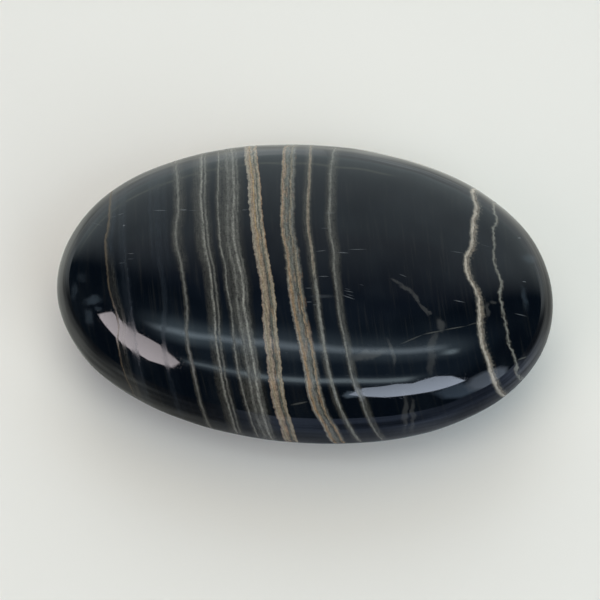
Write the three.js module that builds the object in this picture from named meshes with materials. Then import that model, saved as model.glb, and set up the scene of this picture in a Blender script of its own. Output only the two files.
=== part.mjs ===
// A palm stone: one piece of banded dark stone, ground and polished to a smooth oval
// pebble that fills the palm. It is solid all through and rests on a small flat spot.
// Millimetres, +Z up, long axis along X, origin on the surface under the stone's centre.

import * as THREE from 'three';
import { mergeVertices } from 'three/addons/utils/BufferGeometryUtils.js';

// Plan, seen from above
const LENGTH = 66.5;
const WIDTH = 43.4;
const PLAN_QUARTERS = 0.017; // the outline's four quarters stand out from an ellipse by this share
const BLUNTER_END = 0.017; // the +X end is wider and the other end narrower by this share
const BOW = -0.26; // both tips lie this far towards -Y from the middle line

// Profile, seen from the side
const HEIGHT = 21.0;
const SIDE_QUARTERS = 0.032; // as PLAN_QUARTERS, between rim and crown and between rim and rest
const FLAT_SPOT_DEPTH = 0.2; // how much the polished rest is ground off the underside

// Facets
const STEPS_AROUND = 76;
const STEPS_BELOW = 17;
const STEPS_ABOVE = 18;
const MERGE_DISTANCE = 1e-5;

// An ellipse of half axes 1, pushed out most at its four quarters: returns [cosine, sine].
function fullCircle(angle, quarters) {
  const reach = 1 + quarters * Math.sin(2 * angle) ** 2;
  return [reach * Math.cos(angle), reach * Math.sin(angle)];
}

// The angle below the rim at which the profile meets the flat spot, found by halving.
function flatSpotAngle(halfHeight) {
  let above = 0;
  let below = Math.PI / 2;
  for (let i = 0; i < 40; i++) {
    const middle = (above + below) / 2;
    const drop = halfHeight * fullCircle(middle, SIDE_QUARTERS)[1];
    if (drop < HEIGHT - halfHeight) {
      above = middle;
    } else {
      below = middle;
    }
  }
  return above;
}

// Half the stone's outline from the middle of the flat spot up to the crown, as points of
// (share of the plan, height). The rim, its widest line, is just under half of the height.
function sideProfile() {
  const halfHeight = (HEIGHT + FLAT_SPOT_DEPTH) / 2;
  const rimHeight = HEIGHT - halfHeight;
  const lowest = flatSpotAngle(halfHeight);
  const points = [new THREE.Vector2(0, 0)];
  for (let i = 0; i < STEPS_BELOW; i++) {
    const [share, drop] = fullCircle(lowest * (1 - i / STEPS_BELOW), SIDE_QUARTERS);
    points.push(new THREE.Vector2(share, i === 0 ? 0 : rimHeight - halfHeight * drop));
  }
  for (let i = 0; i < STEPS_ABOVE; i++) {
    const [share, rise] = fullCircle((Math.PI / 2) * (i / STEPS_ABOVE), SIDE_QUARTERS);
    points.push(new THREE.Vector2(share, rimHeight + halfHeight * rise));
  }
  points.push(new THREE.Vector2(0, HEIGHT));
  return points;
}

// The profile is turned once round, which gives a round pebble of radius 1, and its
// plan is then drawn out to the oval with its blunter end and its slight bow.
function pebble() {
  const turned = new THREE.LatheGeometry(sideProfile(), STEPS_AROUND);
  turned.rotateX(Math.PI / 2);
  turned.deleteAttribute('normal');
  turned.deleteAttribute('uv');
  const geometry = mergeVertices(turned, MERGE_DISTANCE);
  const place = geometry.getAttribute('position');
  for (let i = 0; i < place.count; i++) {
    const share = Math.hypot(place.getX(i), place.getY(i));
    const angle = Math.atan2(place.getY(i), place.getX(i));
    const [along, across] = fullCircle(angle, PLAN_QUARTERS).map((value) => share * value);
    const x = (LENGTH / 2) * along;
    const y = (WIDTH / 2) * across * (1 + BLUNTER_END * along) + BOW * along ** 2;
    place.setXY(i, x, y);
  }
  geometry.computeBoundingBox();
  const box = geometry.boundingBox;
  geometry.translate(-(box.min.x + box.max.x) / 2, -(box.min.y + box.max.y) / 2, 0);
  geometry.computeVertexNormals();
  return geometry;
}

const polishedStone = new THREE.MeshStandardMaterial({
  color: 0x171c20,
  roughness: 0.12,
  metalness: 0,
});

const stone = new THREE.Mesh(pebble(), polishedStone);
stone.name = 'palm_stone';

const palmStone = new THREE.Group();
palmStone.add(stone);

export default palmStone;
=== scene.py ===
import math

import bpy
import numpy as np
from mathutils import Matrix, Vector


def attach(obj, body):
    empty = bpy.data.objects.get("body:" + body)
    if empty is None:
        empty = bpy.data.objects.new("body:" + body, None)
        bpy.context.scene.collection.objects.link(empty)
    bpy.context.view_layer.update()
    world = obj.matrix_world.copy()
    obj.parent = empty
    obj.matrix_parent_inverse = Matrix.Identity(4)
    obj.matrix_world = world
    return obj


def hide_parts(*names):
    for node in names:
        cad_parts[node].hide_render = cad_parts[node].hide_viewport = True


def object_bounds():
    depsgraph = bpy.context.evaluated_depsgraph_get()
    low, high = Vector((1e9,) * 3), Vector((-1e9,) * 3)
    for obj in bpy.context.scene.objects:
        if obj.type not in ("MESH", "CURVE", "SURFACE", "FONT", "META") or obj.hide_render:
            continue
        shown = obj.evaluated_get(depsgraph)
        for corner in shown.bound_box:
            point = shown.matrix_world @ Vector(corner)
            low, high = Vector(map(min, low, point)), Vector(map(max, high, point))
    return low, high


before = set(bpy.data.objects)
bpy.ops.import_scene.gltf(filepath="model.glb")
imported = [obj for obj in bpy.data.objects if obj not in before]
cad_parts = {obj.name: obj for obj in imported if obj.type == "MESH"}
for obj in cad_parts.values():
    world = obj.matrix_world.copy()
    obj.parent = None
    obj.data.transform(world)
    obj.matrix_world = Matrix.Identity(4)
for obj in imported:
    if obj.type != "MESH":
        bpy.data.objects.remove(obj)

cad_low, cad_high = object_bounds()
MM = 0.001


# The stone's form
# A pebble of hard banded rock, sawn out, ground on a wheel and tumbled to an oval that
# fills the palm. One closed surface, with the slow unevenness that hand grinding leaves.

HALF_LENGTH = (cad_high.x - cad_low.x) / 2
HALF_WIDTH = (cad_high.y - cad_low.y) / 2
HEIGHT = cad_high.z - cad_low.z
FLAT_SPOT_DEPTH = 0.2 * MM
PLAN_QUARTERS = 0.017
SIDE_QUARTERS = 0.032
BLUNTER_END = 0.017
BOW = -0.26 * MM
STEPS_AROUND = 420
STEPS_UP = 200
RIPPLE_OFFSET = 1.7
# Each ripple left by the wheel: depth and wavelength in mm, and the way it runs
GRINDING_RIPPLES = (
    (0.036, 17.0, (0.8, 0.5, 0.2)),
    (0.022, 11.0, (0.5, -0.8, 0.3)),
    (0.012, 7.0, (0.95, 0.2, -0.3)),
    (0.005, 4.6, (0.7, -0.6, 0.4)),
)


def full_circle(angle, quarters):
    """Cosine and sine of the angle, both lengthened by the share quarters times the
    square of the sine of twice the angle, so that the four quarters stand out."""
    reach = 1 + quarters * np.sin(2 * angle) ** 2
    return reach * np.cos(angle), reach * np.sin(angle)


def pebble_points(around, rise):
    """The point of the stone's surface at an angle round it and an angle up from the
    rim: the side profile's share of the plan times the full oval, with one blunter end
    and a bow that grows with the square of the way along; the height is half the full
    height times the profile's rise, and nothing goes below the flat spot."""
    along, across = full_circle(around, PLAN_QUARTERS)
    share, up = full_circle(rise, SIDE_QUARTERS)
    along, across = share * along, share * across
    half_height = (HEIGHT + FLAT_SPOT_DEPTH) / 2
    x = HALF_LENGTH * along
    y = HALF_WIDTH * across * (1 + BLUNTER_END * along) + BOW * along**2
    z = HEIGHT - half_height + half_height * up
    return np.stack(np.broadcast_arrays(x, y, z), axis=-1)


def ripple(points):
    """How far the ground surface stands out at each point: a sum of sine waves, each
    running its own way through the stone."""
    out = np.zeros(points.shape[:-1])
    for number, (depth, wavelength, way) in enumerate(GRINDING_RIPPLES):
        way = np.array(way) / np.linalg.norm(way)
        turn = 2 * math.pi * (points @ way) / (wavelength * MM) + RIPPLE_OFFSET * number
        out += depth * MM * np.sin(turn)
    return out


def closed_skin(name, rings, first, last):
    """A mesh of the rings, an array of rows by points around, joined by quads and closed
    at each end by a fan of triangles to the first and the last point."""
    rows, count = rings.shape[:2]
    points = np.concatenate([first[None], rings.reshape(-1, 3), last[None]])
    ring = np.arange(count)
    following = (ring + 1) % count
    row = 1 + count * np.arange(rows - 1)[:, None]
    quads = np.stack([row + ring, row + following, row + count + following, row + count + ring], axis=-1)
    low_fan = np.stack([np.zeros(count, int), 1 + following, 1 + ring], axis=-1)
    top = 1 + count * (rows - 1)
    high_fan = np.stack([top + ring, top + following, np.full(count, len(points) - 1)], axis=-1)
    faces = quads.reshape(-1, 4).tolist() + low_fan.tolist() + high_fan.tolist()
    mesh = bpy.data.meshes.new(name)
    mesh.from_pydata(points, [], faces)
    mesh.shade_smooth()
    piece = bpy.data.objects.new(name, mesh)
    bpy.context.collection.objects.link(piece)
    return piece


around = np.linspace(0, 2 * math.pi, STEPS_AROUND, endpoint=False)
rise = np.linspace(-math.pi / 2, math.pi / 2, STEPS_UP + 2)[1:-1]
rings = pebble_points(around[None, :], rise[:, None])
poles = pebble_points(np.zeros(2), np.array([-math.pi / 2, math.pi / 2]))
outward = rings - np.array([0, 0, HEIGHT / 2])
outward /= np.linalg.norm(outward, axis=-1, keepdims=True)
rings += outward * ripple(rings)[..., None]
rings[..., 2] = np.maximum(rings[..., 2], 0)
poles[0, 2] = 0
stone = closed_skin("palm_stone_polished", rings, poles[0], poles[1])


# The rock
# Black chert laid down in beds: a near-black ground with thin tan, grey and cream beds
# standing almost on edge across the stone. It was cut straight through them and polished,
# so every bed runs on round the sides and the back. Most of it is the rock's own colour;
# the bluish patches near the ends are painted reflection, and the beds' front sections hold
# painted shade as well as their own colour.

rock = bpy.data.materials.new("banded_stone")
rock.use_nodes = True
nodes = rock.node_tree.nodes
links = rock.node_tree.links
nodes.clear()


def feed(socket, value):
    """Joins a node's output to the socket, or sets the plain value there."""
    if isinstance(value, bpy.types.NodeSocket):
        links.new(value, socket)
    else:
        socket.default_value = value


def calc(operation, *values):
    """One step of arithmetic on numbers or node outputs."""
    step = nodes.new("ShaderNodeMath")
    step.operation = operation
    for socket, value in zip(step.inputs, values):
        feed(socket, value)
    return step.outputs[0]


def soft_step(value, start, end):
    """0 up to start and 1 from end on, with a smooth S between them."""
    step = nodes.new("ShaderNodeMapRange")
    step.interpolation_type = "SMOOTHSTEP"
    for name, number in (("Value", value), ("From Min", start), ("From Max", end)):
        feed(step.inputs[name], number)
    return step.outputs[0]


def blend(share, first, second):
    """The first colour where the share is 0, the second where it is 1."""
    mix = nodes.new("ShaderNodeMix")
    mix.data_type = "RGBA"
    feed(mix.inputs["Factor"], share)
    feed(mix.inputs["A"], (*first, 1) if isinstance(first, tuple) else first)
    feed(mix.inputs["B"], (*second, 1) if isinstance(second, tuple) else second)
    return mix.outputs["Result"]


def mapped(where, kind, location=(0, 0, 0), heading=0.0, scale=(1, 1, 1)):
    """A Mapping node: POINT scales and then moves, TEXTURE moves to a place, turns back
    by the heading in degrees and divides by the scale."""
    mapping = nodes.new("ShaderNodeMapping")
    mapping.vector_type = kind
    feed(mapping.inputs["Vector"], where)
    mapping.inputs["Location"].default_value = location
    mapping.inputs["Rotation"].default_value[2] = math.radians(heading)
    mapping.inputs["Scale"].default_value = scale
    return mapping.outputs["Vector"]


def cloud(where, lengths, shift=0.0, detail=1.0):
    """Noise about 0, from roughly -0.25 to 0.25, whose lumps have the given lengths in
    mm along x, y and z; shift takes another part of it."""
    noise = nodes.new("ShaderNodeTexNoise")
    feed(noise.inputs["Vector"], mapped(where, "POINT", (shift, 0, 0), 0, [1 / s for s in lengths]))
    noise.inputs["Scale"].default_value = 1
    noise.inputs["Detail"].default_value = detail
    return calc("SUBTRACT", noise.outputs[0], 0.5)


def line_through(value, turns, reach):
    """A smooth line through a few turning points (place, height), for a value from -reach
    to reach; the heights are under 1 mm."""
    bend = nodes.new("ShaderNodeFloatCurve")
    line = bend.mapping.curves[0]
    spots = sorted((0.5 + place / (2 * reach), 0.5 + height / 2) for place, height in turns)
    line.points[0].location = spots[0]
    line.points[1].location = spots[-1]
    for spot in spots[1:-1]:
        line.points.new(*spot)
    for point in line.points:
        point.handle_type = "AUTO_CLAMPED"
    bend.mapping.extend = "HORIZONTAL"
    bend.mapping.update()
    feed(bend.inputs["Value"], calc("MULTIPLY_ADD", value, 1 / (2 * reach), 0.5))
    return calc("MULTIPLY_ADD", bend.outputs[0], 2.0, -1.0)


# Places in the rock are in mm from the middle of the stone, with z from its crown.
own = nodes.new("ShaderNodeTexCoord")
in_mm = mapped(own.outputs["Object"], "POINT", (0, 0, -HEIGHT / MM), 0, (1 / MM, 1 / MM, 1 / MM))
parts = nodes.new("ShaderNodeSeparateXYZ")
links.new(in_mm, parts.inputs[0])
x_mm, y_mm, z_mm = parts.outputs

# Across the beds, so that a pattern follows them
LEAN, DIP = 0.17, 0.27
across = calc("MULTIPLY_ADD", y_mm, LEAN, calc("MULTIPLY_ADD", z_mm, DIP, x_mm))
bedding_parts = nodes.new("ShaderNodeCombineXYZ")
for socket, value in zip(bedding_parts.inputs, (across, y_mm, z_mm)):
    feed(socket, value)
bedding = bedding_parts.outputs[0]

# The beds aren't quite flat: a slow wave that they share, and a finer ragged one
slow_wave = cloud(bedding, (9.0, 5.0, 5.0), 3.0)
ragged_wave = cloud(bedding, (1.2, 0.7, 0.7), 11.0, 2.0)
fine_wave = cloud(bedding, (0.35, 0.4, 0.4), 17.0, 1.0)

GROUND = (0.0016, 0.0024, 0.0044)
GROUND_PALER = (0.0050, 0.0066, 0.0092)
TAN = (0.225, 0.182, 0.124)
EDGE_TAN = (0.235, 0.205, 0.165)
PINK_TAN = (0.225, 0.165, 0.125)
OCHRE = (0.300, 0.205, 0.095)
ORANGE = (0.330, 0.165, 0.070)
BROWN = (0.225, 0.150, 0.088)
OLIVE = (0.155, 0.135, 0.100)
GREEN_GREY = (0.082, 0.086, 0.072)
PLUM = (0.042, 0.026, 0.025)
CREAM = (0.335, 0.295, 0.250)
CREAM_EDGE = (0.150, 0.128, 0.104)
THREAD = (0.105, 0.078, 0.048)
FAINT_BLUE = (0.019, 0.025, 0.034)


def grey(paleness):
    """A slightly warm grey that sends back about this share of the light."""
    return (1.03 * paleness, paleness, 0.89 * paleness)


# Each bed: where its plane meets the crown line in mm along x, how far it leans with y
# and dips with z, how ragged, how rusty, how dull and on its right side how crumbly it is,
# the turns by which it strays from its plane (y, mm), and its section, read across it:
# place in mm, colour and how much it covers the ground. A second section is its look
# toward the front: partly the bed's own change along its length, and partly painted shade
# that mostly darkens the beds on the front flank.
BEDS = {
    "rust_thread": dict(
        place=-26.59, lean=0.183, dip=0.202, ragged=0.25, rusty=0.0, dull=0.50,
        turns=((12, 0.0), (7, 0.18), (3.5, 0.0), (1, -0.38), (-4, -0.30), (-7.5, 0.10), (-10.3, 0.45),
               (-12.3, -0.05), (-15, -0.06), (-16.8, 0.35)),
        section=((-0.24, THREAD, 0), (-0.10, THREAD, 0.75), (0.06, THREAD, 0.75),
                 (0.18, grey(0.038), 0.7), (0.32, grey(0.030), 0.5), (0.50, FAINT_BLUE, 0.3),
                 (0.62, FAINT_BLUE, 0.5), (0.85, FAINT_BLUE, 0.3), (1.20, FAINT_BLUE, 0)),
        front=((-0.30, THREAD, 0), (-0.14, THREAD, 0.5), (-0.06, THREAD, 0.5),
               (0.06, grey(0.030), 0.4), (0.40, grey(0.024), 0.4), (0.60, grey(0.034), 0.6),
               (0.90, grey(0.034), 0.5), (1.30, FAINT_BLUE, 0)),
    ),
    "faint_stripe": dict(
        place=-24.30, lean=0.183, dip=0.202, ragged=0.5, rusty=0.0, dull=0.42,
        turns=((12, 0.0), (0, -0.1), (-12, 0.05), (-16, -0.1)),
        section=((-0.90, FAINT_BLUE, 0), (-0.50, FAINT_BLUE, 0.25), (-0.15, FAINT_BLUE, 0.25),
                 (0.00, FAINT_BLUE, 0.40), (0.22, FAINT_BLUE, 0.40), (0.35, FAINT_BLUE, 0.15),
                 (0.60, FAINT_BLUE, 0)),
    ),
    "faint_zone": dict(
        place=-19.40, lean=0.183, dip=0.195, ragged=0.5, rusty=0.0, dull=0.42,
        turns=((12, 0.0), (0, 0.0), (-6, 0.3), (-14.8, -0.7), (-18, -0.6)),
        section=((-1.35, FAINT_BLUE, 0), (-1.15, FAINT_BLUE, 0.30), (-0.95, FAINT_BLUE, 0.30),
                 (-0.65, FAINT_BLUE, 0.08), (-0.40, FAINT_BLUE, 0.28), (0.25, FAINT_BLUE, 0.28),
                 (0.55, FAINT_BLUE, 0.08), (0.85, FAINT_BLUE, 0.22), (1.10, FAINT_BLUE, 0.22),
                 (1.45, FAINT_BLUE, 0)),
        front=((-0.70, FAINT_BLUE, 0), (-0.45, FAINT_BLUE, 0.30), (-0.05, FAINT_BLUE, 0.30),
               (0.20, FAINT_BLUE, 0.05), (0.90, FAINT_BLUE, 0.05), (1.20, FAINT_BLUE, 0)),
    ),
    "first_grey": dict(
        place=-16.63, lean=0.180, dip=0.188, ragged=0.3, rusty=0.0, dull=0.25,
        turns=((16, -0.50), (13.5, -0.08), (10, 0.20), (7, 0.18), (1, -0.37), (-2, 0.0), (-7, 0.20),
               (-9, 0.12), (-13.5, -0.30), (-16, -0.15), (-20, -0.1)),
        section=((-0.95, grey(0.01), 0), (-0.50, grey(0.028), 1), (-0.20, grey(0.056), 1),
                 (-0.06, grey(0.122), 1), (0.04, grey(0.122), 1), (0.15, grey(0.062), 1),
                 (0.34, grey(0.036), 1), (0.75, grey(0.024), 0.8), (1.30, grey(0.02), 0)),
        front=((-0.50, grey(0.01), 0), (-0.35, grey(0.020), 1), (-0.20, grey(0.036), 1),
               (-0.05, grey(0.088), 1), (0.07, grey(0.088), 1), (0.20, grey(0.030), 0.9),
               (0.45, grey(0.02), 0)),
    ),
    "twin_lines": dict(
        place=-12.83, lean=0.186, dip=0.152, ragged=0.25, rusty=0.0, dull=0.22,
        turns=((17, -0.25), (13, -0.05), (7, -0.35), (1, -0.31), (-4, 0.0), (-8, -0.02), (-13, -0.28),
               (-17, -0.30), (-20, -0.10)),
        section=((-1.50, grey(0.02), 0), (-1.00, grey(0.027), 0.9), (-0.42, grey(0.040), 1),
                 (-0.20, grey(0.080), 1), (-0.06, grey(0.165), 1), (0.05, grey(0.165), 1),
                 (0.17, grey(0.052), 1), (0.30, grey(0.036), 1), (0.42, grey(0.104), 1),
                 (0.53, grey(0.104), 1), (0.67, grey(0.032), 1), (0.90, grey(0.022), 0.8),
                 (1.40, grey(0.02), 0)),
        front=((-1.10, grey(0.02), 0), (-0.80, grey(0.020), 0.9), (-0.30, grey(0.032), 1),
               (-0.16, grey(0.055), 1), (-0.03, grey(0.150), 1), (0.08, grey(0.150), 1),
               (0.20, grey(0.030), 1), (0.38, grey(0.026), 1), (0.49, grey(0.088), 1),
               (0.59, grey(0.088), 1), (0.75, grey(0.018), 0.9), (1.15, grey(0.02), 0)),
    ),
    "thin_line": dict(
        place=-10.76, lean=0.186, dip=0.223, ragged=0.25, rusty=0.0, dull=0.22,
        turns=((18, -0.35), (13, 0.0), (7, -0.22), (1, -0.32), (-3, -0.02), (-5, -0.10), (-8.7, 0.10),
               (-12, -0.08), (-16, -0.26), (-20, -0.20)),
        section=((-0.60, grey(0.02), 0), (-0.30, grey(0.022), 0.8), (-0.16, grey(0.042), 1),
                 (-0.05, grey(0.125), 1), (0.03, grey(0.125), 1), (0.14, grey(0.040), 1),
                 (0.40, grey(0.034), 1), (0.75, grey(0.034), 0)),
    ),
    "hazy_bed": dict(
        place=-8.94, lean=0.185, dip=0.207, ragged=0.3, rusty=0.0, dull=0.22,
        turns=((18, -0.28), (15, 0.14), (9.5, 0.27), (2, -0.24), (-5.7, 0.24), (-8, 0.0),
               (-13.5, 0.18), (-20, -0.10)),
        section=((-1.68, grey(0.034), 0), (-1.45, grey(0.034), 1), (-1.10, grey(0.044), 1),
                 (-0.84, grey(0.098), 1), (-0.72, grey(0.080), 1), (-0.44, grey(0.058), 1),
                 (-0.20, grey(0.082), 1), (-0.06, grey(0.155), 1), (0.07, grey(0.155), 1),
                 (0.18, grey(0.078), 1), (0.34, grey(0.050), 1), (0.48, grey(0.092), 1),
                 (0.57, grey(0.074), 1), (0.72, grey(0.026), 1), (1.00, grey(0.016), 0.8),
                 (1.55, grey(0.02), 0)),
        front=((-1.68, grey(0.025), 0), (-1.40, grey(0.030), 1), (-1.05, grey(0.050), 1),
               (-0.86, grey(0.112), 1), (-0.74, grey(0.104), 1), (-0.58, grey(0.062), 1),
               (-0.30, grey(0.062), 1), (-0.16, grey(0.095), 1), (-0.04, grey(0.185), 1),
               (0.08, grey(0.185), 1), (0.18, grey(0.100), 1), (0.32, grey(0.052), 1),
               (0.48, grey(0.072), 1), (0.60, grey(0.050), 1), (0.74, grey(0.018), 1),
               (0.95, grey(0.010), 0.8), (1.40, grey(0.01), 0)),
    ),
    "wide_tan_bed": dict(
        place=-5.73, lean=0.180, dip=0.142, ragged=0.45, rusty=0.25, dull=0.20,
        turns=((18, -0.55), (14, -0.30), (10, -0.13), (4, -0.20), (-1, -0.05), (-6, 0.27), (-10, 0.0),
               (-14.5, -0.14), (-18.5, -0.32), (-21.5, 0.05)),
        section=((-0.92, EDGE_TAN, 0), (-0.80, EDGE_TAN, 0.9), (-0.64, EDGE_TAN, 1), (-0.48, TAN, 1),
                 (-0.30, PINK_TAN, 1), (-0.14, OCHRE, 1), (0.00, OLIVE, 1), (0.12, EDGE_TAN, 1),
                 (0.24, OLIVE, 1), (0.34, GREEN_GREY, 1), (0.44, GREEN_GREY, 1), (0.56, TAN, 1),
                 (0.70, EDGE_TAN, 1), (0.82, BROWN, 1), (0.94, BROWN, 0)),
        front=((-0.93, EDGE_TAN, 0), (-0.78, PINK_TAN, 0.9), (-0.62, EDGE_TAN, 1), (-0.44, TAN, 1),
               (-0.26, TAN, 1), (-0.08, PINK_TAN, 1), (0.04, OLIVE, 1), (0.14, PLUM, 1),
               (0.22, GREEN_GREY, 1), (0.38, GREEN_GREY, 1), (0.48, OLIVE, 1), (0.62, TAN, 1),
               (0.76, EDGE_TAN, 1), (0.88, TAN, 1), (1.00, TAN, 0)),
    ),
    "many_lined_bed": dict(
        place=-1.56, lean=0.183, dip=0.303, ragged=0.4, rusty=0.25, dull=0.20,
        turns=((18, 0.0), (14, 0.18), (11, 0.05), (7, -0.18), (3, -0.40), (-1, -0.10), (-8, -0.20),
               (-14.5, -0.02), (-18.5, -0.30), (-21, 0.30)),
        section=((-0.95, OLIVE, 0), (-0.80, OLIVE, 1), (-0.66, BROWN, 1), (-0.56, PINK_TAN, 1),
                 (-0.40, OLIVE, 1), (-0.28, GREEN_GREY, 1), (-0.08, grey(0.115), 1),
                 (0.10, GREEN_GREY, 1), (0.22, grey(0.055), 1), (0.36, OLIVE, 1), (0.50, OLIVE, 1),
                 (0.62, grey(0.110), 1), (0.80, grey(0.090), 1), (0.94, grey(0.05), 0.8),
                 (1.15, grey(0.02), 0)),
        front=((-1.15, grey(0.10), 0), (-0.98, grey(0.115), 1), (-0.84, EDGE_TAN, 1),
               (-0.70, BROWN, 1), (-0.56, BROWN, 1), (-0.40, OLIVE, 1), (-0.26, grey(0.100), 1),
               (-0.06, grey(0.120), 1), (0.12, GREEN_GREY, 1), (0.26, grey(0.040), 1),
               (0.38, OLIVE, 1), (0.50, BROWN, 1), (0.62, OLIVE, 1), (0.78, grey(0.090), 0.9),
               (1.10, grey(0.02), 0)),
    ),
    "pink_line": dict(
        place=0.79, lean=0.169, dip=0.378, ragged=0.2, rusty=0.0, dull=0.22,
        turns=((20, -0.2), (12.5, 0.40), (8, 0.16), (4, 0.0), (-2, 0.18), (-8, 0.05), (-12, -0.08),
               (-17.3, -0.24), (-21, 0.10)),
        section=((-0.95, grey(0.02), 0), (-0.55, grey(0.026), 0.9), (-0.28, grey(0.040), 1),
                 (-0.14, OLIVE, 1), (0.00, PINK_TAN, 0.75), (0.10, OLIVE, 0.9),
                 (0.26, grey(0.030), 0.9), (0.60, grey(0.02), 0)),
        front=((-0.80, grey(0.02), 0), (-0.45, grey(0.028), 0.9), (-0.26, grey(0.045), 1),
               (-0.10, grey(0.130), 1), (0.06, grey(0.160), 1), (0.14, grey(0.130), 1),
               (0.28, grey(0.025), 0.9), (0.60, grey(0.02), 0)),
    ),
    "haloed_line": dict(
        place=3.74, lean=0.158, dip=0.394, ragged=0.2, rusty=0.0, dull=0.22,
        turns=((19, -0.15), (14.5, 0.08), (9, 0.05), (4, -0.20), (0.3, 0.05), (-2, -0.10),
               (-5.5, -0.17), (-9, -0.24), (-13, -0.13), (-16, -0.20), (-18, 0.12)),
        section=((-0.80, grey(0.02), 0), (-0.40, grey(0.022), 1), (-0.20, grey(0.048), 1),
                 (-0.07, grey(0.118), 1), (0.05, grey(0.118), 1), (0.18, grey(0.052), 1),
                 (0.38, grey(0.040), 1), (0.65, grey(0.026), 1), (1.10, grey(0.02), 0)),
        front=((-0.55, grey(0.010), 0), (-0.35, grey(0.014), 0.8), (-0.18, grey(0.040), 1),
               (-0.06, grey(0.125), 1), (0.05, grey(0.125), 1), (0.16, grey(0.050), 1),
               (0.40, grey(0.046), 1), (0.62, grey(0.032), 0.9), (0.95, grey(0.015), 0)),
    ),
    "cream_bed": dict(
        place=21.14, lean=0.088, dip=0.433, ragged=0.30, rusty=0.06, dull=0.25, crumbly=1.1,
        turns=((14.5, -0.72), (12.4, -0.23), (9.6, 0.27), (8.3, 0.07), (5, 0.07), (3.5, -0.10),
               (0.9, -0.78), (-0.7, -0.60), (-3, 0.26), (-4.4, 0.38), (-9, 0.03), (-10.8, 0.27)),
        section=((-0.50, grey(0.04), 0), (-0.34, grey(0.08), 0.7), (-0.18, CREAM, 0.95),
                 (0.02, CREAM, 1), (0.12, CREAM_EDGE, 1), (0.28, CREAM_EDGE, 0.95),
                 (0.42, grey(0.070), 0.8), (0.56, grey(0.03), 0.5), (0.74, grey(0.02), 0)),
    ),
    "end_line": dict(
        place=24.34, lean=0.132, dip=0.344, ragged=0.45, rusty=0.06, dull=0.25, crumbly=0.9,
        turns=((12.8, -0.2), (10.7, 0.02), (9.1, 0.34), (7.4, -0.13), (4.8, -0.04), (3.1, -0.24),
               (1.4, -0.17), (-1.1, 0.38), (-2.3, -0.02), (-7, 0.0), (-8.3, -0.05), (-10, 0.33),
               (-11.2, 0.0)),
        section=((-0.36, grey(0.03), 0), (-0.22, grey(0.06), 0.8), (-0.12, grey(0.155), 0.95),
                 (-0.02, grey(0.155), 0.95), (0.08, grey(0.05), 0.8), (0.25, grey(0.02), 0)),
    ),
}
SECTION_REACH = 1.7
TURNS_REACH = 23.0
CRUMBLE_FROM = 0.25
SLOW_SWAY = 0.25

# The ground: almost black, with cloudy paler patches and faint streaks along the beds
clouds = soft_step(cloud(bedding, (5.0, 8.0, 8.0), 31.0, 3.0), -0.10, 0.25)
streaks = soft_step(cloud(bedding, (0.28, 7.0, 7.0), 41.0, 2.0), 0.02, 0.25)
colour = blend(clouds, GROUND, GROUND_PALER)
colour = blend(calc("MULTIPLY", streaks, 0.20), colour, grey(0.028))
dullness = None

# In the beds: fine streaks along them, blots, grains and specks, and iron stain in patches
streaky = cloud(bedding, (0.12, 1.5, 1.5), 53.0, 2.0)
blotted = cloud(bedding, (0.30, 0.55, 0.55), 59.0, 2.0)
grainy = cloud(in_mm, (0.22, 0.22, 0.22), 67.0, 2.0)
crumbs = cloud(in_mm, (0.30, 0.30, 0.30), 97.0, 2.0)
shade_factor = calc("ADD", calc("MULTIPLY_ADD", streaky, 1.9, 1.0), calc("MULTIPLY", grainy, 1.2))
shade_factor = calc("MAXIMUM", calc("MULTIPLY_ADD", blotted, 1.1, shade_factor), 0.15)
stain = soft_step(cloud(bedding, (0.45, 2.6, 2.6), 73.0, 2.0), 0.05, 0.18)
# How far the front look holds: the front sections carry painted shade for the front flank as well as the
# beds' own change
toward_front = soft_step(calc("MULTIPLY_ADD", slow_wave, 12.0, y_mm), 2.0, -5.0)


def section_across(distance, stops, reach):
    """The colours and the cover read off across a bed, for a distance from -reach to
    reach; each stop is a place, a colour and a cover."""
    section = nodes.new("ShaderNodeValToRGB")
    marks = section.color_ramp.elements
    while len(marks) < len(stops):
        marks.new(1.0)
    for mark, (place, shade, share) in zip(marks, stops):
        mark.position = 0.5 + place / (2 * reach)
        mark.color = (*shade, share)
    feed(section.inputs[0], calc("MULTIPLY_ADD", distance, 1 / (2 * reach), 0.5))
    return section.outputs["Color"], section.outputs["Alpha"]


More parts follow.
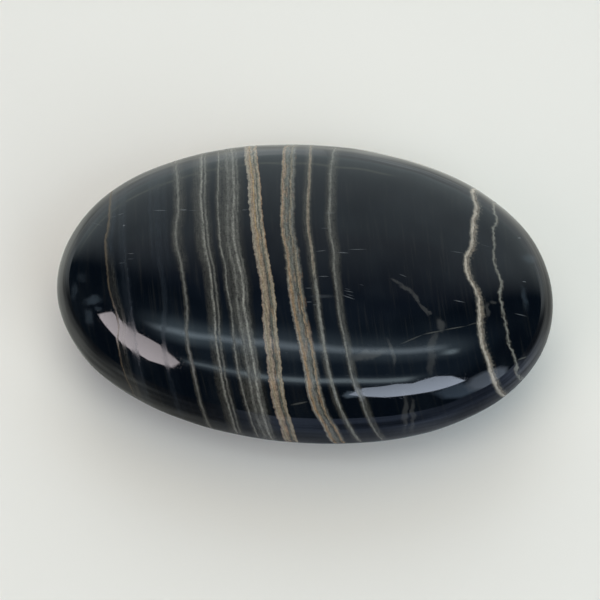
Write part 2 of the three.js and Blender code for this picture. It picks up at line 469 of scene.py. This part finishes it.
for bed in BEDS.values():
    distance = calc("MULTIPLY_ADD", y_mm, bed["lean"], calc("MULTIPLY_ADD", z_mm, bed["dip"], x_mm))
    distance = calc("SUBTRACT", distance, bed["place"])
    distance = calc("SUBTRACT", distance, line_through(y_mm, bed["turns"], TURNS_REACH))
    distance = calc("MULTIPLY_ADD", slow_wave, SLOW_SWAY, distance)
    distance = calc("MULTIPLY_ADD", ragged_wave, bed["ragged"], distance)
    distance = calc("MULTIPLY_ADD", fine_wave, bed["ragged"] * 0.5, distance)
    if "crumbly" in bed:
        from_left_edge = calc("ADD", distance, CRUMBLE_FROM)
        pushed_right = calc("MULTIPLY", crumbs, bed["crumbly"])
        distance = calc("MULTIPLY_ADD", pushed_right, from_left_edge, distance)
    bed_colour, bed_cover = section_across(distance, bed["section"], SECTION_REACH)
    # Toward the front: the bed's own change, and painted shade on the front flank
    if "front" in bed:
        front_colour, front_cover = section_across(distance, bed["front"], SECTION_REACH)
        bed_colour = blend(toward_front, bed_colour, front_colour)
        cover_change = calc("SUBTRACT", front_cover, bed_cover)
        bed_cover = calc("MULTIPLY_ADD", toward_front, cover_change, bed_cover)
    if bed["rusty"]:
        bed_colour = blend(calc("MULTIPLY", stain, bed["rusty"]), bed_colour, ORANGE)
    shaded = nodes.new("ShaderNodeVectorMath")
    shaded.operation = "SCALE"
    feed(shaded.inputs[0], bed_colour)
    feed(shaded.inputs["Scale"], shade_factor)
    colour = blend(bed_cover, colour, shaded.outputs[0])
    palest = max(max(stop[1]) for stop in bed["section"])
    paleness = nodes.new("ShaderNodeRGBToBW")
    feed(paleness.inputs[0], bed_colour)
    line_share = soft_step(paleness.outputs[0], 0.2 * palest, 0.5 * palest)
    bed_dullness = calc("MULTIPLY", calc("MULTIPLY", bed_cover, line_share), bed["dull"])
    dullness = bed_dullness if dullness is None else calc("MAXIMUM", dullness, bed_dullness)

# Marks on the upper side, each a long ellipse: middle in mm, heading in degrees, half its
# length, half its width, and how strongly it shows. The bluish patches near the ends use
# the same ellipses for painted reflection.
FINE_SCRATCHES = (
    ((-19.7, 5.9, -2.1), -3, 1.2, 0.09, 0.55),
    ((-16.6, 5.9, -1.5), -1, 0.7, 0.10, 0.90),
    ((-15.2, 5.8, -1.3), 0, 1.0, 0.07, 0.30),
    ((-8.4, 6.0, -0.6), 9, 0.55, 0.08, 0.45),
    ((-25.0, 5.8, -3.6), 10, 0.6, 0.09, 0.45),
    ((-26.0, 5.5, -4.0), 10, 0.6, 0.07, 0.25),
    ((-24.3, 3.8, -3.1), 0, 0.22, 0.20, 0.80),
    ((-28.2, 4.8, -5.1), -34, 1.7, 0.08, 0.22),
    ((-22.8, -0.7, -2.4), -4, 0.6, 0.09, 0.45),
    ((-22.8, -1.5, -2.5), 0, 0.6, 0.07, 0.30),
    ((-23.9, -2.0, -2.8), 0, 0.6, 0.07, 0.30),
    ((2.1, 0.3, 0.0), 12, 0.9, 0.10, 0.40),
    ((4.9, 0.3, -0.1), 2, 1.0, 0.08, 0.70),
    ((6.8, 1.0, -0.2), 7, 1.5, 0.07, 0.50),
    ((2.8, 6.3, -0.4), 6, 0.9, 0.14, 0.35),
    ((2.4, 3.8, -0.1), 5, 0.8, 0.12, 0.20),
    ((2.7, -3.4, -0.1), 5, 0.9, 0.10, 0.45),
    ((0.9, -5.2, -0.2), 4, 0.6, 0.08, 0.45),
    ((1.1, -7.1, -0.4), 4, 0.5, 0.09, 0.50),
    ((1.9, -7.4, -0.5), 5, 0.4, 0.08, 0.50),
    ((2.7, -6.2, -0.4), 5, 2.2, 0.35, 0.15),
    ((6.1, -5.2, -0.3), -7, 0.8, 0.07, 0.50),
    ((6.1, -6.0, -0.4), -14, 1.1, 0.10, 0.55),
    ((6.3, -5.7, -0.4), -12, 0.7, 0.06, 0.40),
    ((5.9, -4.9, -0.3), -10, 0.5, 0.06, 0.30),
    ((12.9, -2.1, -0.7), -15, 0.7, 0.09, 0.40),
    ((7.7, -4.1, -0.3), -14, 0.35, 0.07, 0.25),
    ((19.8, 2.5, -1.8), 2, 1.1, 0.09, 0.35),
    ((23.5, 4.4, -2.9), -3, 0.9, 0.06, 0.20),
    ((20.4, -4.6, -2.1), -2, 0.9, 0.09, 0.70),
    ((28.6, -4.4, -5.1), 7, 1.1, 0.09, 0.50),
    ((28.1, 7.5, -5.6), 29, 0.4, 0.12, 0.70),
    ((28.9, 0.5, -4.9), 11, 0.35, 0.10, 0.80),
)
HEALED_CRACKS = (
    ((14.6, -10.6, -2.1), 30, 2.1, 0.11, 0.5),
    ((17.3, -9.3, -2.2), 20, 1.7, 0.11, 0.7),
    ((20.0, -8.3, -2.6), 20, 1.9, 0.10, 0.7),
    ((22.7, -7.1, -3.1), 27, 1.7, 0.08, 0.5),
    ((29.2, -9.5, -7.4), 37, 1.1, 0.10, 0.7),
    ((0.8, -19.3, -5.3), 12, 1.4, 0.13, 0.6),
)
GHOST_PATCHES = (
    ((12.1, -3.1, -0.6), -24, 1.1, 0.30, 0.8),
    ((13.5, -3.9, -0.8), -31, 1.6, 0.46, 0.9),
    ((14.9, -5.0, -1.1), -47, 1.5, 0.44, 1.0),
    ((16.0, -6.4, -1.4), -56, 1.3, 0.32, 0.9),
    ((16.6, -6.8, -1.6), -22, 0.6, 0.22, 0.8),
    ((18.2, -8.1, -2.2), -62, 1.3, 0.75, 1.0),
    ((17.5, -10.2, -2.5), -112, 1.8, 0.62, 0.7),
    ((17.3, -12.8, -3.6), -88, 2.3, 0.78, 0.65),
    ((9.1, -13.2, -2.2), 16, 3.2, 0.70, 1.0),
    ((12.1, -12.6, -2.4), -68, 2.2, 0.40, 1.0),
    ((14.4, -18.7, -6.9), -80, 2.4, 0.52, 0.9),
    ((15.4, -18.9, -7.1), -80, 2.3, 0.42, 0.8),
    ((24.1, -5.1, -3.2), -87, 1.1, 0.32, 0.8),
    ((24.9, -3.9, -3.3), 29, 0.9, 0.30, 0.8),
)
# Bluish patches near both ends: painted reflection, the bluish light seen in the polish there
BLUISH_REFLECTION_PATCHES = (
    ((-27.3, -6.7, -4.9), -8, 1.6, 0.85, 0.80),
    ((-27.7, -8.8, -5.8), -62, 1.7, 0.72, 0.62),
    ((-26.6, -8.0, -5.2), -20, 0.9, 0.55, 0.5),
    ((-29.2, -3.4, -5.6), -35, 1.3, 0.75, 0.25),
    ((-30.1, -4.8, -6.4), -80, 1.6, 0.55, 0.40),
    ((29.6, 4.6, -5.6), 38, 1.7, 0.95, 0.45),
    ((29.0, -1.9, -5.0), -77, 2.1, 0.65, 0.50),
)
MARK_DEPTH = 6.0


def all_marks(where, marks, crisp_to):
    """How strongly any of the marks shows at a point: full within crisp_to of an ellipse's
    middle, as a share of its reach, and gone at its edge. The largest one counts."""
    shown = 0.0
    for middle, heading, half_length, half_width, strength in marks:
        inside = nodes.new("ShaderNodeVectorMath")
        inside.operation = "LENGTH"
        reach = (half_length, half_width, MARK_DEPTH)
        feed(inside.inputs[0], mapped(where, "TEXTURE", middle, heading, reach))
        here = calc("MULTIPLY", soft_step(inside.outputs["Value"], 1.0, crisp_to), strength)
        shown = calc("MAXIMUM", shown, here)
    return shown


# The patches have uneven edges, so their places are pushed about a little
pushed = nodes.new("ShaderNodeCombineXYZ")
feed(pushed.inputs[0], calc("MULTIPLY", cloud(in_mm, (1.6, 1.6, 1.6), 103.0, 2.0), 1.2))
feed(pushed.inputs[1], calc("MULTIPLY", cloud(in_mm, (1.6, 1.6, 1.6), 109.0, 2.0), 1.2))
bent_place = nodes.new("ShaderNodeVectorMath")
feed(bent_place.inputs[0], in_mm)
feed(bent_place.inputs[1], pushed.outputs[0])
bent = bent_place.outputs[0]
SCRATCH_GREY = (0.150, 0.160, 0.170)
CRACK_GREY = (0.080, 0.080, 0.072)
GHOST_GREY = (0.037, 0.037, 0.037)
PAINTED_REFLECTION_BLUE = (0.036, 0.047, 0.060)
colour = blend(all_marks(bent, GHOST_PATCHES, 0.35), colour, GHOST_GREY)
# Painted reflection: bluish patches near the two ends
colour = blend(all_marks(bent, BLUISH_REFLECTION_PATCHES, 0.2), colour, PAINTED_REFLECTION_BLUE)
colour = blend(all_marks(in_mm, HEALED_CRACKS, 0.3), colour, CRACK_GREY)
colour = blend(all_marks(in_mm, FINE_SCRATCHES, 0.1), colour, SCRATCH_GREY)

# The polish: nearly a mirror on the ground, a little duller and lower on the beds
POLISHED = 0.035
ROCK_IOR = 1.54
BED_RELIEF = 0.003 * MM
PIT_DEPTH = 0.001 * MM
roughness = calc("ADD", dullness, POLISHED)
pits = soft_step(cloud(in_mm, (0.22, 0.22, 0.22), 83.0, 1.0), 0.14, 0.24)
height = calc("MULTIPLY_ADD", pits, -PIT_DEPTH / BED_RELIEF, calc("MULTIPLY", dullness, -4.0))
relief = nodes.new("ShaderNodeBump")
relief.inputs["Distance"].default_value = BED_RELIEF
feed(relief.inputs["Height"], height)

polish = nodes.new("ShaderNodeBsdfPrincipled")
feed(polish.inputs["Base Color"], colour)
feed(polish.inputs["Roughness"], roughness)
feed(polish.inputs["Normal"], relief.outputs[0])
polish.inputs["IOR"].default_value = ROCK_IOR
surface = nodes.new("ShaderNodeOutputMaterial")
links.new(polish.outputs["BSDF"], surface.inputs["Surface"])

stone.data.materials.append(rock)
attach(stone, "root")
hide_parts("palm_stone")


# The floor
# A plain pale matt sheet that the stone lies on. It is not part of the stone.

FLOOR_HALF = 1.2
FLOOR_COLOUR = (0.83, 0.802, 0.775, 1)
FLOOR_ROUGHNESS = 0.9
FLOOR_SHEEN = 0.1
floor_mesh = bpy.data.meshes.new("floor")
floor_corners = [(-FLOOR_HALF, -FLOOR_HALF, 0), (FLOOR_HALF, -FLOOR_HALF, 0)]
floor_corners += [(FLOOR_HALF, FLOOR_HALF, 0), (-FLOOR_HALF, FLOOR_HALF, 0)]
floor_mesh.from_pydata(floor_corners, [], [(0, 1, 2, 3)])
floor = bpy.data.objects.new("floor", floor_mesh)
bpy.context.collection.objects.link(floor)
floor_finish = bpy.data.materials.new("floor_matt")
floor_finish.use_nodes = True
matt = floor_finish.node_tree.nodes["Principled BSDF"].inputs
matt["Base Color"].default_value = FLOOR_COLOUR
matt["Roughness"].default_value = FLOOR_ROUGHNESS
matt["Specular IOR Level"].default_value = FLOOR_SHEEN
floor_mesh.materials.append(floor_finish)


# The light
# A dim bluish room. The upper half of the polish shows its pale wall, which gets darker
# upwards; the front shows two windows and two long soft lights on the ceiling.

room = bpy.data.worlds.new("room")
bpy.context.scene.world = room
room.use_nodes = True
nodes = room.node_tree.nodes
links = room.node_tree.links
sky_way = nodes.new("ShaderNodeTexCoord")
sky_parts = nodes.new("ShaderNodeSeparateXYZ")
feed(sky_parts.inputs[0], sky_way.outputs["Generated"])
rightward, backward, upward = sky_parts.outputs


def between(value, low_edge, high_edge, softness):
    """1 between the two edges and 0 outside them, each edge being as wide as softness."""
    risen = soft_step(value, low_edge - softness / 2, low_edge + softness / 2)
    fallen = soft_step(value, high_edge + softness / 2, high_edge - softness / 2)
    return calc("MULTIPLY", risen, fallen)


# The wall behind, in shares of its distance: sideways, and upwards from the horizon
DARK_ROOM = (0.010, 0.026, 0.045)
WALL_REACH = 4.0
WALL_FADE = (
    (-0.03, (0.80, 0.92, 0.95), 1), (0.00, (0.88, 1.03, 1.05), 1), (0.07, (0.78, 0.90, 0.93), 1),
    (0.20, (0.76, 0.88, 0.91), 1), (0.28, (0.73, 0.84, 0.88), 1), (0.40, (0.66, 0.77, 0.81), 1),
    (0.55, (0.61, 0.71, 0.76), 1), (0.70, (0.57, 0.66, 0.71), 1), (0.85, (0.51, 0.60, 0.65), 1),
    (1.00, (0.45, 0.53, 0.58), 1), (1.20, (0.42, 0.50, 0.55), 1), (1.43, (0.34, 0.39, 0.44), 1),
    (1.70, (0.27, 0.32, 0.37), 1), (2.10, (0.18, 0.22, 0.27), 1), (2.60, (0.11, 0.14, 0.19), 1),
    (3.50, (0.05, 0.08, 0.13), 1),
)
RAIL_COLOUR = (1.05, 1.18, 1.12)
RAIL_FOOT, RAIL_TOP, RAIL_BLUR = 0.215, 0.255, 0.03
CORNER_DIMMING = 0.2
to_wall = calc("MAXIMUM", backward, 0.001)
wall_side = calc("DIVIDE", rightward, to_wall)
wall_height = calc("DIVIDE", upward, to_wall)
wall_colour = section_across(wall_height, WALL_FADE, WALL_REACH)[0]
on_rail = between(wall_height, RAIL_FOOT, RAIL_TOP, RAIL_BLUR)
on_rail = calc("MULTIPLY", on_rail, soft_step(wall_side, 0.17, 0.10))
wall_colour = blend(on_rail, wall_colour, RAIL_COLOUR)
dim_corner = calc("MULTIPLY", soft_step(wall_side, 0.25, 0.50), soft_step(wall_height, 1.0, 0.5))
on_wall = calc("MULTIPLY", soft_step(wall_side, -2.15, -0.95), soft_step(wall_side, 2.1, 0.9))
on_wall = calc("MULTIPLY", on_wall, calc("MULTIPLY_ADD", dim_corner, -CORNER_DIMMING, 1.0))
in_light = blend(calc("MULTIPLY", on_wall, soft_step(backward, 0.0, 0.2)), DARK_ROOM, wall_colour)

# The ceiling, in shares of its height: how far right and how far back. Each light on it
# has its left and right end, its near and far edge, their softness, and its colour.
CEILING_LIGHTS = (
    ((-0.50, 1.10), (-0.85, 0.10), 0.40, (0.07, 0.11, 0.16)),
    ((-0.60, -0.30), (-0.29, -0.02), 0.18, (0.30, 0.40, 0.46)),
    ((-0.62, 0.72), (-0.27, -0.06), 0.21, (0.41, 0.53, 0.61)),
    ((-0.66, 0.50), (-0.19, -0.13), 0.07, (1.35, 1.60, 1.80)),
    ((0.545, 0.635), (-0.25, -0.19), 0.06, (2.00, 2.45, 2.70)),
    ((-0.60, 0.60), (-0.79, -0.58), 0.14, (0.32, 0.40, 0.46)),
    ((-0.58, -0.20), (-0.71, -0.64), 0.08, (0.95, 1.15, 1.25)),
    ((-0.20, 0.55), (-0.72, -0.62), 0.08, (1.40, 1.70, 1.85)),
)
to_ceiling = calc("MAXIMUM", upward, 0.001)
ceiling_right = calc("DIVIDE", rightward, to_ceiling)
ceiling_back = calc("DIVIDE", backward, to_ceiling)
for ends, edges, softness, shade in CEILING_LIGHTS:
    lit = between(ceiling_right, *ends, 2 * softness)
    lit = calc("MULTIPLY", lit, between(ceiling_back, *edges, softness))
    lit = calc("MULTIPLY", lit, soft_step(upward, 0.05, 0.2))
    added = nodes.new("ShaderNodeVectorMath")
    added.operation = "MULTIPLY_ADD"
    added.inputs[0].default_value = shade
    feed(added.inputs[1], lit)
    feed(added.inputs[2], in_light)
    in_light = added.outputs[0]
background = nodes["Background"]
feed(background.inputs["Color"], in_light)


def pane(name, places, faces, finish):
    """A sheet that only the polish sees."""
    mesh = bpy.data.meshes.new(name)
    mesh.from_pydata(places, [], faces)
    mesh.materials.append(finish)
    sheet = bpy.data.objects.new(name, mesh)
    bpy.context.collection.objects.link(sheet)
    sheet.visible_camera = False
    sheet.visible_diffuse = False
    sheet.visible_shadow = False
    sheet.visible_transmission = False
    return mesh


# The windows' finish: it glows in the colour of the mesh's corners and is clear where
# their fourth number is 0
glow = bpy.data.materials.new("window_glow")
glow.use_nodes = True
nodes = glow.node_tree.nodes
links = glow.node_tree.links
nodes.clear()
corner_colour = nodes.new("ShaderNodeAttribute")
corner_colour.attribute_name = "glow"
shining = nodes.new("ShaderNodeEmission")
feed(shining.inputs["Color"], corner_colour.outputs["Color"])
clear = nodes.new("ShaderNodeBsdfTransparent")
fading = nodes.new("ShaderNodeMixShader")
feed(fading.inputs[0], corner_colour.outputs["Alpha"])
links.new(clear.outputs[0], fading.inputs[1])
links.new(shining.outputs[0], fading.inputs[2])
glow_out = nodes.new("ShaderNodeOutputMaterial")
links.new(fading.outputs[0], glow_out.inputs["Surface"])
AT_FOOT, AT_HEAD = 1.25, 0.80


def window(name, spot, distance, azimuth, corners, shade, soft_rim):
    """An upright pane seen from a spot on the stone: azimuth is the way to its plane,
    clockwise from straight behind, and the corners are in shares of its distance, to the
    right and up. It is brighter at its foot and fades out over soft_rim of its size."""
    turned = math.radians(azimuth)
    out = Vector((math.sin(turned), math.cos(turned), 0))
    side = Vector((math.cos(turned), -math.sin(turned), 0))
    ways = [out + side * right + Vector((0, 0, up)) for right, up in corners]
    outer = [Vector(spot) + distance * way for way in ways]
    middle = sum(outer, Vector()) / len(outer)
    inner = [place.lerp(middle, soft_rim) for place in outer]
    count = len(outer)
    faces = [(i, (i + 1) % count, count + (i + 1) % count, count + i) for i in range(count)]
    mesh = pane(name, outer + inner, faces + [tuple(range(count, 2 * count))], glow)
    foot, head = min(place.z for place in outer), max(place.z for place in outer)
    shades = mesh.color_attributes.new("glow", "FLOAT_COLOR", "POINT")
    for i, place in enumerate(outer + inner):
        level = AT_FOOT + (AT_HEAD - AT_FOOT) * (place.z - foot) / (head - foot)
        shades.data[i].color = (*(level * c for c in shade), 0.0 if i < count else 1.0)


LEFT_PANE = ((0.60, 0.66), (0.65, 1.07), (0.34, 1.12), (0.04, 1.20), (-0.24, 1.02), (-0.26, 0.74),
             (-0.10, 0.59))
RIGHT_PANE = ((0.37, 0.88), (0.24, 1.12), (0.02, 1.12), (-0.13, 0.99), (-0.29, 1.08), (-0.37, 0.90),
              (-0.41, 0.53), (-0.12, 0.57), (0.18, 0.67))
LEFT_END = ((0.42, 0.86), (0.36, 1.08), (0.28, 1.02), (0.28, 0.76), (0.38, 0.72))
DIM_PANE = ((0.46, 0.57), (0.34, 0.68), (0.20, 0.62), (0.15, 0.50), (0.14, -0.09), (0.28, -0.05),
            (0.44, 0.22))
DOOR_PANE = ((0.22, 0.38), (0.12, 0.54), (0.00, 0.53), (-0.15, 0.34), (-0.20, 0.12), (-0.16, -0.10),
             (0.02, -0.20), (0.16, -0.08), (0.22, 0.10))
window("left_window", (-0.020, -0.012, 0.016), 1.6, -125, LEFT_PANE, (5.9, 5.4, 5.6), 0.06)
window("right_window", (0.014, -0.016, 0.016), 1.6, 150, RIGHT_PANE, (4.3, 4.9, 5.9), 0.06)
window("left_end", (0.014, -0.016, 0.016), 1.7, 150, LEFT_END, (0.9, 1.2, 1.5), 0.5)
window("dim_window", (0.024, -0.014, 0.012), 1.9, 120, DIM_PANE, (0.50, 0.70, 0.95), 0.4)
window("right_doorway", (0.024, -0.014, 0.012), 1.8, 120, DOOR_PANE, (1.25, 1.50, 1.85), 0.35)

# A glowing sheet that only the polish sees, a painted reflection of the floor below the
# horizon: bright at the back, dim and bluish in front, with painted shadow close to the
# stone and soft streaks that widen away from it
MIRRORED_HALF = 1.2
MIRRORED_LIFT = 0.4 * MM
NEAR_LOOK = (0.97, 1.00, 0.93)
FAR_LOOK = (0.91, 1.00, 1.02)
DIM_LOOK = (0.78, 1.00, 1.50)
BACK_SHARE, RIGHT_SHARE, EVEN_SHARE = 0.24, -0.05, 0.66
DIM_AZIMUTH = math.radians(150)
# Painted shade and painted light on the reflected floor, where it is darker or paler: from
# and to in degrees round from straight in front, positive to the right; how many times as
# far out as the stone's edge it starts; its brightness there
PATCHES = (
    ((-179, -161), 2.6, 1.40),
    ((-128, -74), 1.9, 0.75),
    ((-120, -72), 0.7, 1.45),
    ((-112, -72), 5.0, 0.55),
    ((-100, -72), 3.2, 0.60),
    ((-100, -58), 1.9, 0.42),
    ((-100, -20), 3.4, 0.32),
    ((-68, -52), 1.8, 0.80),
    ((-60, 75), 0.5, 0.65),
    ((-60, 75), 1.15, 1.50),
    ((-60, 75), 1.8, 0.78),
    ((-60, 75), 2.8, 1.28),
    ((-44, -15), 1.30, 0.28),
    ((-28, -12), 1.1, 1.20),
    ((-28, -12), 1.8, 0.62),
    ((4, 62), 1.9, 0.60),
    ((8, 30), 3.4, 2.20),
    ((8, 34), 1.9, 0.65),
    ((30, 50), 1.0, 1.30),
    ((30, 50), 1.9, 0.58),
    ((46, 62), 1.2, 0.65),
    ((70, 92), 1.0, 1.55),
    ((70, 92), 2.0, 0.50),
    ((78, 106), 2.5, 0.12),
    ((88, 112), 1.2, 0.80),
    ((128, 170), 0.95, 1.75),
    ((128, 170), 1.75, 0.58),
)
PATCH_SOFTNESS = 14
reflected = bpy.data.materials.new("reflected_floor")
reflected.use_nodes = True
nodes = reflected.node_tree.nodes
links = reflected.node_tree.links
nodes.clear()
on_sheet = nodes.new("ShaderNodeTexCoord")
sheet_parts = nodes.new("ShaderNodeSeparateXYZ")
feed(sheet_parts.inputs[0], on_sheet.outputs["Object"])
sheet_x, sheet_y = sheet_parts.outputs[:2]
away = calc("SQRT", calc("MULTIPLY_ADD", sheet_x, sheet_x, calc("MULTIPLY", sheet_y, sheet_y)))
toward_right = calc("DIVIDE", sheet_x, away)
toward_back = calc("DIVIDE", sheet_y, away)
bright = calc("MULTIPLY_ADD", toward_right, RIGHT_SHARE, EVEN_SHARE)
bright = calc("MULTIPLY_ADD", toward_back, BACK_SHARE, bright)
toward_dim = calc("MULTIPLY", toward_back, math.cos(DIM_AZIMUTH))
toward_dim = soft_step(calc("MULTIPLY_ADD", toward_right, math.sin(DIM_AZIMUTH), toward_dim), 0.3, 1.0)
long_way = calc("DIVIDE", sheet_x, HALF_LENGTH)
short_way = calc("DIVIDE", sheet_y, HALF_WIDTH)
off_stone = calc("MULTIPLY_ADD", long_way, long_way, calc("MULTIPLY", short_way, short_way))
off_stone = calc("SQRT", off_stone)
# Painted shadow: the reflected floor is darker close to the stone
bright = calc("MULTIPLY", bright, calc("MULTIPLY_ADD", soft_step(off_stone, 0.85, 2.5), 0.52, 0.48))
round_from_front = calc("DEGREES", calc("ARCTAN2", sheet_x, calc("MULTIPLY", sheet_y, -1.0)))
# Painted shade and light in patches round the stone
for turn, start, share in PATCHES:
    starts = soft_step(off_stone, 0.8 * start, 1.3 * start)
    here = calc("MULTIPLY", between(round_from_front, *turn, PATCH_SOFTNESS), starts)
    bright = calc("MULTIPLY", bright, calc("MULTIPLY_ADD", here, share - 1.0, 1.0))
streak_place = nodes.new("ShaderNodeCombineXYZ")
feed(streak_place.inputs[0], toward_right)
feed(streak_place.inputs[1], toward_back)
feed(streak_place.inputs[2], calc("LOGARITHM", away, math.e))
soft_streaks = cloud(streak_place.outputs[0], (0.5, 0.5, 0.13), 5.0, 3.0)
bright = calc("MULTIPLY", bright, calc("MAXIMUM", calc("MULTIPLY_ADD", soft_streaks, 2.0, 1.0), 0.2))
shade = blend(soft_step(off_stone, 1.4, 5.0), NEAR_LOOK, FAR_LOOK)
farther = calc("MULTIPLY_ADD", soft_step(off_stone, 0.9, 2.2), 0.7, 0.3)
shade = blend(calc("MULTIPLY", toward_dim, farther), shade, DIM_LOOK)
glowing = nodes.new("ShaderNodeEmission")
feed(glowing.inputs["Color"], shade)
feed(glowing.inputs["Strength"], bright)
sheet_out = nodes.new("ShaderNodeOutputMaterial")
links.new(glowing.outputs[0], sheet_out.inputs["Surface"])
sheet_ways = [(-1, -1), (1, -1), (1, 1), (-1, 1)]
sheet_places = [(MIRRORED_HALF * x, MIRRORED_HALF * y, MIRRORED_LIFT) for x, y in sheet_ways]
pane("reflected_floor", sheet_places, [(0, 1, 2, 3)], reflected)
floor.visible_glossy = False


def lamp(name, place, aimed_at, width, height, radiance, colour):
    """A soft lamp whose face has the given radiance, so that its power is pi times the
    radiance times its area. It lights the floor and the beds but isn't in the polish."""
    light = bpy.data.lights.new(name, "AREA")
    light.shape = "RECTANGLE"
    light.size, light.size_y = width, height
    light.energy = math.pi * radiance * width * height
    light.color = colour
    panel = bpy.data.objects.new(name, light)
    bpy.context.collection.objects.link(panel)
    panel.location = place
    panel.rotation_mode = "QUATERNION"
    panel.rotation_quaternion = (Vector(aimed_at) - Vector(place)).to_track_quat("-Z", "Y")
    panel.visible_camera = False
    panel.visible_glossy = False


# Lamps near the stone, so that the floor gets darker away from them
lamp("overhead", (0.0, 0.05, 0.8), (0, 0, 0), 0.8, 0.8, 1.15, (1.0, 0.86, 0.58))
lamp("behind", (-0.05, 0.5, 0.45), (0, 0, 0), 0.5, 0.4, 1.75, (0.93, 0.99, 1.0))
lamp("front_left", (-0.5, -0.4, 0.5), (0, 0, 0), 0.5, 0.5, 1.6, (1.0, 0.83, 0.82))
lamp("front_right", (0.45, -0.45, 0.5), (0, 0, 0), 0.5, 0.5, 3.1, (0.86, 0.98, 1.0))
lamp("right", (0.65, 0.15, 0.45), (0, 0, 0), 0.5, 0.5, 0.8, (0.7, 0.9, 1.0))


# The camera
# A long lens above the front of the stone, turned slightly round it.

CAMERA_AZIMUTH = 4.52
CAMERA_ELEVATION = 62.0
CAMERA_DISTANCE = 308.2 * MM
LENS = 138.0
SENSOR = 36.0
IMAGE_SIDE = 600
STONE_CENTRE_PX = (304.7, 290.0)
turned, raised = math.radians(CAMERA_AZIMUTH), math.radians(CAMERA_ELEVATION)
flat_share = math.cos(raised)
back = Vector((math.sin(turned) * flat_share, -math.cos(turned) * flat_share, math.sin(raised)))
right = Vector((math.cos(turned), math.sin(turned), 0))
above = back.cross(right)
pixel = CAMERA_DISTANCE * SENSOR / LENS / IMAGE_SIDE
aim_point = Vector((0, 0, HEIGHT / 2))
aim_point -= right * pixel * (STONE_CENTRE_PX[0] - IMAGE_SIDE / 2)
aim_point += above * pixel * (STONE_CENTRE_PX[1] - IMAGE_SIDE / 2)
camera_data = bpy.data.cameras.new("camera")
camera_data.lens = LENS
camera_data.sensor_width = SENSOR
camera_data.clip_start = 10 * MM
camera = bpy.data.objects.new("camera", camera_data)
bpy.context.collection.objects.link(camera)
camera.location = aim_point + back * CAMERA_DISTANCE
camera.rotation_mode = "QUATERNION"
camera.rotation_quaternion = (-back).to_track_quat("-Z", "Y")
bpy.context.scene.camera = camera
bpy.context.scene.view_settings.view_transform = "Standard"
